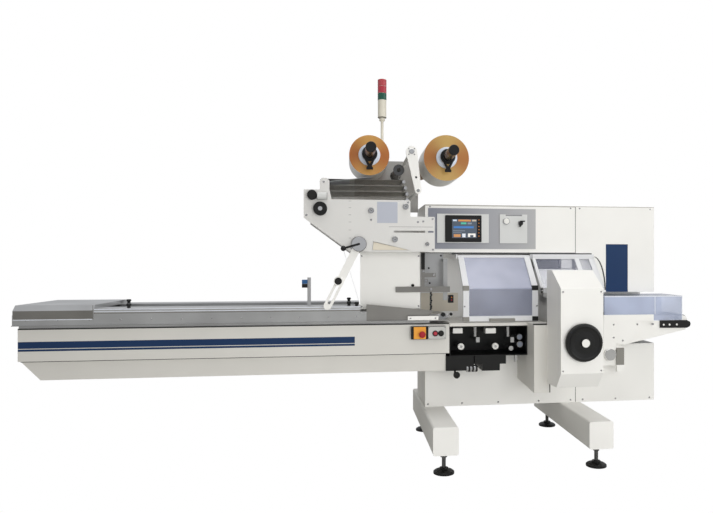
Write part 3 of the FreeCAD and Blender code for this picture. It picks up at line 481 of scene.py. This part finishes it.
class WRAPPER_OT_operator_panel(bpy.types.Operator):
    """Dress the screen, its plate, the buttons and the stop box"""
    bl_idname = "wrapper.operator_panel"
    bl_label = "Operator panel"

    def execute(self, context):
        glow = context.scene.wrapper_finish.screen_glow
        light = finish("pale grey enamel plate")
        black = finish("black moulded plastic")
        white = finish("white moulded plastic")
        steel = finish("polished steel")
        front = PANEL_FACE
        slab("screen_surround", (543, 868), skin_on(front), (1278, 1457), light)
        slab("button_surround", (938, 1114), skin_on(front), (1277, 1457), light)
        slab("button_label_blank", (975, 1080), (front - 1.4, front - SKIN), (1447, 1456), steel)
        tile_front = GLASS_FACE - 0.8
        tiles = (
            ("screen_ground", (635, 790), (1308, 1424), "#4A5460"),
            ("screen_clock", (640, 664), (1411, 1421), "#C9D6E4"),
            ("screen_title", (674, 752), (1410, 1421), "#C98A4E"),
            ("screen_menu", (760, 786), (1411, 1421), "#B9AE9C"),
            ("screen_run_state", (690, 724), (1393, 1404), "#4FB39A"),
            ("screen_mode", (732, 758), (1393, 1403), "#7C8794"),
            ("screen_speed_bar", (645, 770), (1368, 1381), "#3F74B4"),
            ("screen_list_upper", (641, 716), (1349, 1356), "#6E7782"),
            ("screen_list_lower", (641, 694), (1338, 1343), "#6E7782"),
            ("screen_count", (645, 688), (1314, 1331), "#C58B58"),
            ("screen_counter_box", (698, 719), (1312, 1335), "#D8DEE6"),
            ("screen_gauge", (734, 782), (1314, 1336), "#E4E2DC"),
            ("screen_gauge_middle", (748, 768), (1313.5, 1326), "#4A5460"),
        )
        for n, (name, x, z, colour) in enumerate(tiles):
            depth = tile_front - (0.3 if n else 0) - (0.2 if name == "screen_gauge_middle" else 0)
            lit = printed("lit display " + colour[1:], colour, glow)
            slab(name, x, (depth, GLASS_FACE), z, lit, bevel=0.05)
        orange = printed("orange key print", "#D9843A")
        discs("screen_key", [(803, 1320 + 20 * n) for n in range(6)], GLASS_FACE, 0.8, 3.2, orange)
        disc("start_button_ring", 978, 1414, front - SKIN, 8, 21, steel)
        disc("start_button", 978, 1414, front - 8, 6, 17, white)
        disc("selector_ring", 1070, 1402, front - SKIN, 7, 17, steel)
        disc("selector_body", 1070, 1402, front - 7, 12, 12, black)
        grip = ((1056, 1380), (1066, 1378), (1078, 1408), (1092, 1410), (1092, 1417), (1062, 1417),
                (1060, 1406))
        panel_shape("selector_grip", grip, (front - 26, front - 16), black)
        self.boxes(black, steel)
        return {"FINISHED"}

    def boxes(self, black, steel):
        yellow = printed("yellow enamel plate", "#F0A53C")
        grey = moulded("light grey moulded plastic", "#C9C9C5")
        red = finish("red moulded lens")
        face = BOX_FACE
        for side, x, z in (("left", (373, 411), (719, 788)), ("right", (429, 443), (719, 788)),
                           ("upper", (411, 429), (755, 788)), ("lower", (411, 429), (719, 737))):
            slab("stop_plate_" + side, x, (face - 1, face), z, yellow)
        slab("push_box_cover", (457, 558), (face - 1, face), (718, 789), grey)
        disc("push_ring_red", 497, 750, face - 1, 5, 17, black)
        disc("push_lens_red", 497, 750, face - 5, 4, 11, red)
        disc("push_ring_black", 530, 750, face - 1, 5, 17, black)
        disc("push_cap_black", 530, 750, face - 5, 4, 11, finish("satin black cap"))
        corners = ((462, 723), (553, 723), (462, 784), (553, 784))
        discs("push_box_screw", corners, face - 1, 1.5, 3.5, steel)


class WRAPPER_OT_film_station(bpy.types.Operator):
    """Dress the film plate, reels, spindles and rollers"""
    bl_idname = "wrapper.film_station"
    bl_label = "Film station"

    def execute(self, context):
        black = finish("black moulded plastic")
        white = moulded("bluish white hub plastic", "#DCE3EE")
        steel = finish("polished steel")
        chrome = finish("bright turned face")
        line = printed("grey scale line", "#8E8E8C")
        face = PLATE_FACE
        for body, (x, z) in (("left_reel", LEFT_REEL), ("right_reel", RIGHT_REEL)):
            turned(body + "_hub", (x, 0, z), (0, -1, 0),
                   ((29.6, 144), (63, 144), (64, 152), (60, 156), (44, 158), (41, 190), (30, 190)),
                   white, body)
            turned(body + "_collar", (x, 0, z), (0, -1, 0),
                   ((29.6, 189), (44, 189), (45, 192), (45, 198), (42, 201), (29.6, 201)), black, body)
            lever = ((x - 43, z - 6), (x - 12, z - 72), (x - 20, z - 82), (x - 19, z - 94), (x + 19, z - 94),
                     (x + 20, z - 82), (x + 12, z - 72), (x + 43, z - 6), (x + 33, z - 12), (x, z - 60),
                     (x - 33, z - 12))
            panel_shape(body + "_clamp_lever", lever, (-203, -201), black, body)
            disc(body + "_lever_pivot", x, z - 82, -203, 3, 7, black, body)
            turned(body + "_core_end", (x, 0, z), (0, 1, 0),
                   ((29.6, 144), (56, 144), (57, 153), (29.6, 154)), white, body)
            turned(body + "_spindle_cap", (x, -395, z), (0, -1, 0),
                   ((29.5, 0), (29.8, 2), (29.8, 12), (27, 16), (0, 16)), black)
        disc("dial_centre", -152, 1456, face - 26, 1.5, 12, chrome)
        disc("tension_knob_cap", -196, 1531, face - 30, 2, 20, finish("satin black cap"))
        turned("tension_barrel_sleeve", (-168, face - 20, 1526), (1, 0, 0),
               ((20.4, 1), (20.4, 53), (12, 54.2), (0, 54.2)), finish("pale grey enamel plate"))
        for n, (x, z, r, d) in enumerate(((129, 1449, 16, 14), (324, 1473, 16, 14), (263, 1288, 16, 14),
                                          (447, 1262, 11, 10))):
            turned(f"roller_boss_{n}", (x, face, z), (0, -1, 0),
                   ((r + 0.5, 0), (r + 0.5, d - 1), (r - 1, d + 0.6), (4, d + 0.6), (0, d - 1)), steel)
        turned("web_clamp_face", (61, face, 1260), (0, -1, 0),
               ((42.4, 12), (42.4, 24), (40, 26.6), (30, 27), (0, 27)), chrome)
        plate = printed("blue-grey plate", "#B9BDC8")
        slab("blank_diagram_plate", (163, 278), skin_on(face), (1380, 1499), plate)
        for n, (x0, x1, z) in enumerate(((229, 480, 1359), (4, 18, 1501), (4, 18, 1464), (4, 18, 1424),
                                         (4, 18, 1384), (4, 18, 1339), (4, 18, 1294))):
            slab(f"scale_line_{n}", (x0, x1), (face - 0.4, face), (z - 1, z + 1), line, bevel=0.05)
        screws = ((129, 1397), (394, 1387), (425, 1391), (-134, 1607), (-228, 1420), (20, 1236), (480, 1230),
                  (338, 1498), (478, 1405))
        discs("film_plate_screw", screws, face, 3, 6, steel)
        discs("link_flange_screw", ring(LINK_HEAD, 23, (45, 135, 225, 315)), face, 3, 4, steel)
        window = ((144, 1273), (231, 1253), (347, 1228), (139, 1228))
        panel_shape("window_backing", window, (face + 9, face + 11), finish("beige enamel panel"))
        self.film_spans(chrome)
        disc("link_bearing", *LINK_HEAD, face, 6, 15, chrome)
        disc("link_foot_bolt", 396, 1566, face, 5, 9, steel)
        disc("link_hole", 384, 1641, face, 1.2, 6, black)
        disc("arm_knob_cap", -53, 1054, -339, 3, 20, finish("satin black cap"))
        disc("arm_pivot_bolt", 55, 1249, -317, 6, 9, steel)
        return {"FINISHED"}

    def film_spans(self, chrome):
        """Film drawn back and forth between the idlers behind the front plate, and the dancer roller."""
        silver = glossy_film("silvery packaging film", "#F0EFEB")
        # Painted shade: the runs over the back plate are darker, in alternating tones, for the plate's shade
        # and reflection in the film.
        shaded = glossy_film("film with painted dark plate shade", "#CBC7C0")
        grey = glossy_film("film with painted grey plate shade", "#E9E6E0")
        for n, (z, x_end) in enumerate(((1648, 330), (1612, 340), (1576, 350), (1540, 350))):
            tone = shaded if n % 2 == 0 else grey
            slab(f"film_span_pale_{n}", (-128, 40), (-125, 125), (z - 0.4, z + 0.4), silver, bevel=0.05)
            slab(f"film_span_painted_shade_{n}", (40.5, x_end), (-125, 125), (z - 0.4, z + 0.4), tone, bevel=0.05)
            for side, x in (("left", -128), ("right", x_end)):
                turned(f"film_idler_{side}_{n}", (x, -130, z - 11), (0, 1, 0),
                       ((0, 0), (10, 0), (10, 260), (0, 260)), chrome, steps=24)
        sheet = printed("silvery packaging sheet", "#D5D2CC")
        slab("film_rear_sheet", (-128, 98), (120, 121), (1538, 1650), sheet)
        turned("dancer_roller", (298, -150, 1704), (0, 1, 0),
               ((12, 0), (33, 0), (33, 6), (26, 8), (26, 252), (33, 254), (33, 260), (12, 260)),
               finish("turned steel bar"))


class WRAPPER_OT_infeed(bpy.types.Operator):
    """Dress the infeed conveyor and forming area"""
    bl_idname = "wrapper.infeed"
    bl_label = "Infeed and forming area"

    def execute(self, context):
        black = finish("black moulded plastic")
        steel = finish("polished steel")
        cream = finish("beige enamel panel")
        light = finish("white powder coat")
        blue = moulded("blue moulded plastic", "#2C5C8E")
        highlight_line = finish("polished sheet edge")
        for n, (x, y) in enumerate(((-1194, -200), (6, -200), (50, -235), (-1329, 200), (6, 200))):
            turned(f"rail_knob_{n}", (x, y, 909), (0, 0, 1),
                   ((9, 0), (9, 10), (13, 12), (13, 20), (10, 23), (0, 23)), black)
        # Painted highlight along the top of the rail.
        slab("rail_upper_painted_highlight", (-1350, 69), (-263.6, -263.0), (903, 908), highlight_line, bevel=0.1)
        slab("rail_joint_line", (-1350, 69), (-262.9, -262.2), (899, 902), black, bevel=0.1)
        # Painted highlight along the pan's lip.
        slab("lip_painted_highlight", (-1756, 586), (LIP_FACE - 1, LIP_FACE), (820, 824), finish("bright turned face"))
        # Dark line for the tail's end gap and for the painted shadow under the rail.
        shaded = moulded("shaded stainless line", "#77746E")
        brushed_tail = brushed("shaded stainless sheet", "#A09D97")
        slab("tail_face", (-1750, -1356), (-266.8, -266.2), (856, 900), brushed_tail)
        # Painted highlight along the lower edge of the tail cover's face.
        slab("tail_lower_painted_highlight", (-1750, -1356), (-267.2, -266.2), (851, 855), highlight_line)
        slab("tail_end_gap", (-1355, -1352.5), (-267, -266.2), (852, 928), shaded)
        # Painted highlight along the middle of the rail.
        slab("rail_middle_painted_highlight", (-1350, 69), (-263.9, -263.0), (891, 895), highlight_line, bevel=0.1)
        # Painted shadow under the rail.
        slab("rail_lower_painted_shadow", (-1350, 69), (-263.6, -263.0), (883, 887), shaded, bevel=0.1)
        discs("pan_screw", [(-1690 + n * 158, 850) for n in range(12)], PAN_FACE, 1.5, 4, steel)
        slab("sensor_head_cover", (-264, -233), (-151, -117), (1034, 1057), blue, bevel=1.0)
        slab("sensor_head_lower", (-264, -233), (-151, -117), (1011, 1033), black, bevel=1.0)
        slab("work_area_back_panel", (472, 719), (208.8, 209.6), (837, 957), cream)
        slab("former_black_strip", (428, 450), (-177, -167), (1116, 1214), black)
        discs("linkage_bolt", ((440, 1105), (455, 1050), (503, 1083), (486, 998)), -176, 6, 7, steel)
        links = [(486 + 3 * math.sin(1.9 * n), 976 - 11 * n) for n in range(10)]
        discs("linkage_chain", links, -178, 4, 5.6, black)
        for n, (x, z, r) in enumerate(((520, 850, 10), (546, 856, 13), (570, 848, 11), (592, 858, 9))):
            disc(f"end_roller_{n}", x, z, -254, 10, r, black if n % 2 else steel)
        slab("sensor_red_tab", (714, 724), (-110, -96), (915, 960), finish("red moulded lens"))
        disc("sealing_cam", 1096, 938, -96, 8, 42, finish("turned steel bar"))
        turned("linkage_ball", (379, -172, 1015), (0, 0, 1),
               ((0, 0), (5, 0), (9, 4), (10, 9), (7, 14), (0, 16)), black)
        discs("wall_hole", ((570, 1199), (494, 1122), (500, 1030)), -20, 0.8, 6, black)
        slab("print_mark_sensor", (603, 634), (-108, -80), (913, 960), black, bevel=1.5)
        slab("print_mark_bracket", (590, 612), (-106, -94), (940, 950), steel)
        disc("sensor_light_orange", 622, 946, -108, 1, 4, lens("orange lens", "#E0822E"))
        disc("sensor_light_red", 622, 930, -108, 1, 4, finish("red moulded lens"))
        slab("guide_plate_cover", (340, 517), skin_on(-268), (826, 849), light)
        discs("guide_plate_screw", ((356, 837), (500, 837)), -268 - SKIN, 2, 5, steel)
        discs("side_guard_screw", ((80, 1195), (414, 1195), (80, 900), (414, 900)), -168, 2.5, 5, steel)
        return {"FINISHED"}


class WRAPPER_OT_guards(bpy.types.Operator):
    """Dress the guard door, the end sealer and the drive bay"""
    bl_idname = "wrapper.guards"
    bl_label = "Guards and drives"

    def execute(self, context):
        black = finish("black moulded plastic")
        steel = finish("polished steel")
        white = finish("white moulded plastic")
        light = finish("white powder coat")
        # Grey painted for how light and shade fall on the door grip and the left door blocks; the right
        # blocks stay black.
        grey = finish("grey moulded plastic")
        for side, x, tone in (("left", (667, 704), grey), ("right", (1084, 1121), black)):
            slab(f"door_corner_{side}", x, (-244.5, -226), (992, 1021), tone, "guard_door", bevel=1.5)
            slab(f"door_foot_{side}", x, (-244, -226), (811.4, 838), tone, "guard_door", bevel=1.0)
        slab("door_grip", (822, 976), (-260, -242), (811.5, 828), grey, "guard_door", bevel=2.0)
        # Painted shade: a darker clear sheet over the lower part of the door pane.
        pane_shade = clear_sheet("clear sheet with painted shade", "#858A96", 0.24)
        slab("door_lower_painted_shade", (704, 1084), (-238.6, -237.7), (843, 1000), pane_shade, "guard_door")
        discs("door_bolt", ((676, 900), (1112, 900)), DOOR_FACE, 3, 5, steel, "guard_door")
        slab("hinge_dark_line", (629, 1531), (-57.5, -57), (1208, 1215), black, bevel=0.1)
        slab("sealer_window_dark", (1156, 1330), (-40, -36), (1118, 1206), black)
        slab("sealer_window_pale", (1334, 1405), (-46, -36), (1118, 1206), light)
        slab("latch_block", (1136, 1152), (-244, -227), (976, 1004), black, bevel=1.0)
        discs("upper_guard_bolt", ((1145, 990), (1421, 990), (1518, 990)), DOOR_FACE, 3, 5, steel)
        cheek = []
        for step in range(9):
            angle = math.radians(90 * step / 8)
            cheek.append((1535, -60 - 183 * math.sin(angle), 1196 - 205 * (1 - math.cos(angle))))
        edge = bmesh.new()
        rows = []
        for x, y, z in cheek:
            corners = ((0, -3), (6, -3), (6, 3), (0, 3))
            rows.append([edge.verts.new(at(x + dx, y + dy, z)) for dx, dy in corners])
        for a, b in zip(rows, rows[1:]):
            for k in range(4):
                edge.faces.new((a[k], a[(k + 1) % 4], b[(k + 1) % 4], b[k]))
        edge.faces.new(rows[0])
        edge.faces.new(rows[-1][::-1])
        place("cheek_edge", edge, black, "machine")
        disc("handwheel_hub_cap", *HANDWHEEL, -656, 3, 22, white, "hand_wheel")
        grips = ring(HANDWHEEL, 97, [15 * n for n in range(24)])
        discs("handwheel_grip", grips, -643, 1.6, 3.0, black, "hand_wheel")
        corners = ((1140, 1000), (1354, 1000), (1140, 575), (1354, 575))
        discs("sealer_guard_screw", corners, GUARD_FACE, 2.5, 5, steel)
        slab("column_joint_strip", (1051.2, 1146.8), (-382.8, -360), (800, 806.8), black)
        slab("column_lower_strip", (1142, 1147), (-383, -375), (414, 470), black)
        for n, (x, z) in enumerate(((662, 660), (870, 659))):
            turned(f"white_pulley_{n}", (x, -205, z), (0, -1, 0),
                   ((19.5, -14), (19.5, -1), (17, 1.5), (9, 1.5), (8, -1), (0, -1)), white)
        blue_grey = moulded("blue-grey moulded plastic", "#8B929F")
        discs("blue_grey_cap", ((1018, 712), (1020, 668)), -205, 2, 15, blue_grey)
        for n, (x0, x1, z0, z1) in enumerate(((613, 671, 739, 770), (810, 872, 736, 767))):
            slab(f"white_block_{n}", (x0, x1), (-206, -150), (z0, z1), light, bevel=1.0)
        for n in range(6):
            tone = black if n % 2 else steel
            turned(f"bay_knurled_knob_{n}", (688 + 11 * n, -225, 534), (1, 0, 0),
                   ((0, 0), (19, 0), (20, 2), (20, 9), (19, 11), (0, 11)), tone, steps=30)
        turned("bay_ball_stem", (622, -240, 507), (0, -1, 0),
               ((5, -30), (5, 22), (13, 27), (19, 36), (19, 46), (13, 55), (0, 58)), black)
        slab("bay_ball_post", (617, 627), (-225, -215), (505, 527), black)
        slab("bay_tab", (981, 991), (-235, -215), (568, 612), steel)
        return {"FINISHED"}


class WRAPPER_OT_discharge(bpy.types.Operator):
    """Dress the discharge conveyor"""
    bl_idname = "wrapper.discharge"
    bl_label = "Discharge conveyor"

    def execute(self, context):
        steel = finish("polished steel")
        bright = finish("polished sheet edge")
        light = finish("white powder coat")
        # Painted highlights along the edges of the clear cover.
        for name, x, z in (("upper", (1584, 2103), (941, 947)), ("lower", (1904, 2103), (789, 793)),
                           ("end", (2099, 2103), (793, 941)), ("inner_end", (1917, 1921), (831, 941))):
            slab("cover_painted_highlight_" + name, x, skin_on(COVER_FACE), z, bright)
        slab("cover_strip", (1576, 1904), (GUSSET_FACE - 2, GUSSET_FACE), (789, 830), light)
        discs("gusset_screw", ((1640, 770), (1795, 770), (1700, 670), (1640, 690)), GUSSET_FACE, 3, 6, steel)
        discs("nose_screw", ((1973, 765), (2012, 765), (2061, 765)), -138, 2, 6, light)
        disc("drive_disc", 1617, 584, -146, 4, 36, finish("bright turned face"))
        # Painted light: this dark block is given grey for how light falls on it.
        slab("drive_dark_block", (1656, 1704), (-151, GUSSET_FACE), (520, 626),
             finish("grey moulded plastic"), bevel=1.0)
        turned("cover_hook", (1890, -142, 772), (0, -1, 0),
               ((4, 0), (4, 8), (7, 10), (7, 14), (0, 15)), steel)
        return {"FINISHED"}


class WRAPPER_OT_signal_tower(bpy.types.Operator):
    """Add the ribbed lamps of the signal tower"""
    bl_idname = "wrapper.signal_tower"
    bl_label = "Signal tower"

    def execute(self, context):
        lamps = (("green", 2199, 2243, "#0B5240"), ("red", 2243, 2287, "#8E1A26"),
                 ("pink", 2287, 2331, "#B5454C"))
        for name, low, high, colour in lamps:
            profile = [(27.4, 1)]
            for rib in range(9):
                z = 2 + rib * (high - low - 4) / 8
                profile += [(28.6, z), (28.0, z + 2.2)]
            profile = [(r, h) for r, h in profile if h <= high - low - 0.5] + [(27.4, high - low)]
            if name == "pink":
                profile[-1:] = [(27.6, high - low - 0.5), (24, high - low + 1.5), (0, high - low + 2)]
            glass = lens(name + " moulded lens", colour)
            turned("lamp_" + name, (*TOWER, low), (0, 0, 1), profile, glass)
        turned("tower_neck_ring", (*TOWER, 2087), (0, 0, 1), ((19, -3), (28.2, 0), (28.2, 3), (27.6, 4)),
               moulded("warm grey moulded plastic", "#8A867C"))
        return {"FINISHED"}


# Area lights, in metres: place, side, share of the key's power, aim, and whether bare metal mirrors it.
LIGHTS = (
    ("key", (1.2, -5.8, 1.15), 3.6, 1.0, (0.3, 0.0, 0.9), False),
    ("fill", (4.6, -2.6, 2.6), 3.0, 0.2, (0.6, 0.0, 0.9), True),
    ("top", (0.6, -0.4, 5.2), 4.0, 0.5, (0.4, 0.0, 0.9), True),
)
CAMERA_Y = -3720  # on the operator's side, in the machine's own axes
CAMERA_TURN = -7.72  # degrees about the vertical; negative looks to the right
CAMERA_SHIFT = (-0.103, 0.0077)
SENSOR_WIDTH = 36.0
FLOOR_SIZE = 14
PURE_WHITE = (1, 1, 1, 1)


def mix(tree, factor, first, second):
    """Shows the first shader where the factor is 0 and the second where it is 1."""
    both = add(tree, "ShaderNodeMixShader", {}, [("Fac", factor)])
    tree.links.new(first, both.inputs[1])
    tree.links.new(second, both.inputs[2])
    return both.outputs["Shader"]


class WRAPPER_OT_stage(bpy.types.Operator):
    """Add the pale floor, studio lights, white backdrop and camera"""
    bl_idname = "wrapper.stage"
    bl_label = "Stage"

    def execute(self, context):
        settings = context.scene.wrapper_stage
        self.floor()
        self.world(context.scene)
        for name, stand, side, share, aim, mirrored in LIGHTS:
            self.light(name, stand, side, settings.key_power * share, aim, mirrored)
        lens_data = bpy.data.cameras.new("camera")
        lens_data.lens = settings.focal_length
        lens_data.sensor_width = SENSOR_WIDTH
        lens_data.shift_x, lens_data.shift_y = CAMERA_SHIFT
        lens_data.clip_end = 100.0
        camera = bpy.data.objects.new("camera", lens_data)
        camera.location = at(0, CAMERA_Y, settings.eye_height * 1000)
        camera.rotation_euler = (math.radians(90), 0, math.radians(CAMERA_TURN))
        context.scene.collection.objects.link(camera)
        context.scene.camera = camera
        context.scene.view_settings.view_transform = "Standard"
        return {"FINISHED"}

    def light(self, name, stand, side, power, aim, mirrored):
        """A square soft light; one that isn't mirrored leaves no hot spot in bare metal."""
        data = bpy.data.lights.new(name, "AREA")
        data.size = side
        data.energy = power
        lamp = bpy.data.objects.new(name, data)
        lamp.location = stand
        lamp.visible_glossy = mirrored
        lamp.rotation_euler = (Vector(aim) - Vector(stand)).to_track_quat("-Z", "Y").to_euler()
        bpy.context.scene.collection.objects.link(lamp)

    def floor(self):
        """A pale floor that shades the machine but reads as the white backdrop to the camera."""
        mesh = bmesh.new()
        bmesh.ops.create_grid(mesh, x_segments=2, y_segments=2, size=FLOOR_SIZE)
        data = bpy.data.meshes.new("floor")
        mesh.to_mesh(data)
        mesh.free()
        material = bpy.data.materials.new("pale studio floor")
        material.use_nodes = True
        tree = material.node_tree
        tree.nodes.clear()
        path = add(tree, "ShaderNodeLightPath", {})
        matt = add(tree, "ShaderNodeBsdfDiffuse", {"Color": linear("#D2D2D0")})
        white = add(tree, "ShaderNodeEmission", {"Color": PURE_WHITE, "Strength": 1.0})
        both = mix(tree, path.outputs["Is Camera Ray"], matt.outputs["BSDF"], white.outputs["Emission"])
        add(tree, "ShaderNodeOutputMaterial", {}, [("Surface", both)])
        data.materials.append(material)
        piece = bpy.data.objects.new("floor", data)
        bpy.context.scene.collection.objects.link(piece)

    def world(self, scene):
        """Soft light all round, a brighter gleam for bare metal, and pure white to the camera."""
        world = bpy.data.worlds.new("studio")
        world.use_nodes = True
        tree = world.node_tree
        tree.nodes.clear()
        path = add(tree, "ShaderNodeLightPath", {})
        soft = add(tree, "ShaderNodeBackground", {"Color": linear("#FBF9F5"), "Strength": 0.34})
        white = add(tree, "ShaderNodeBackground", {"Color": PURE_WHITE, "Strength": 1.0})
        gleam = add(tree, "ShaderNodeBackground", {"Color": linear("#F4F6FA"), "Strength": 0.62})
        mirrored = mix(tree, path.outputs["Is Glossy Ray"], soft.outputs["Background"],
                       gleam.outputs["Background"])
        both = mix(tree, path.outputs["Is Camera Ray"], mirrored, white.outputs["Background"])
        add(tree, "ShaderNodeOutputWorld", {}, [("Surface", both)])
        scene.world = world


class WRAPPER_PT_sidebar(bpy.types.Panel):
    """Flow wrapper tools"""
    bl_idname = "WRAPPER_PT_sidebar"
    bl_label = "Flow wrapper"
    bl_space_type = "VIEW_3D"
    bl_region_type = "UI"
    bl_category = "Wrapper"

    def draw(self, context):
        scene = context.scene
        for settings, names in ((scene.wrapper_finish, ("guard_alpha", "screen_glow")),
                                (scene.wrapper_stage, ("focal_length", "eye_height", "key_power"))):
            for name in names:
                self.layout.prop(settings, name)
        for operator in OPERATORS:
            self.layout.operator(operator.bl_idname)


SETTINGS = (WrapperFinishSettings, WrapperStageSettings)
OPERATORS = (WRAPPER_OT_finishes, WRAPPER_OT_livery, WRAPPER_OT_operator_panel, WRAPPER_OT_film_station,
             WRAPPER_OT_infeed, WRAPPER_OT_guards, WRAPPER_OT_discharge, WRAPPER_OT_signal_tower,
             WRAPPER_OT_stage)


def register():
    for cls in SETTINGS + OPERATORS + (WRAPPER_PT_sidebar,):
        bpy.utils.register_class(cls)
    bpy.types.Scene.wrapper_finish = bpy.props.PointerProperty(type=WrapperFinishSettings)
    bpy.types.Scene.wrapper_stage = bpy.props.PointerProperty(type=WrapperStageSettings)


def unregister():
    del bpy.types.Scene.wrapper_stage
    del bpy.types.Scene.wrapper_finish
    for cls in reversed(SETTINGS + OPERATORS + (WRAPPER_PT_sidebar,)):
        bpy.utils.unregister_class(cls)


def main():
    register()
    for operator in OPERATORS:
        group, name = operator.bl_idname.split(".")
        getattr(getattr(bpy.ops, group), name)()


if __name__ == "__main__":
    main()
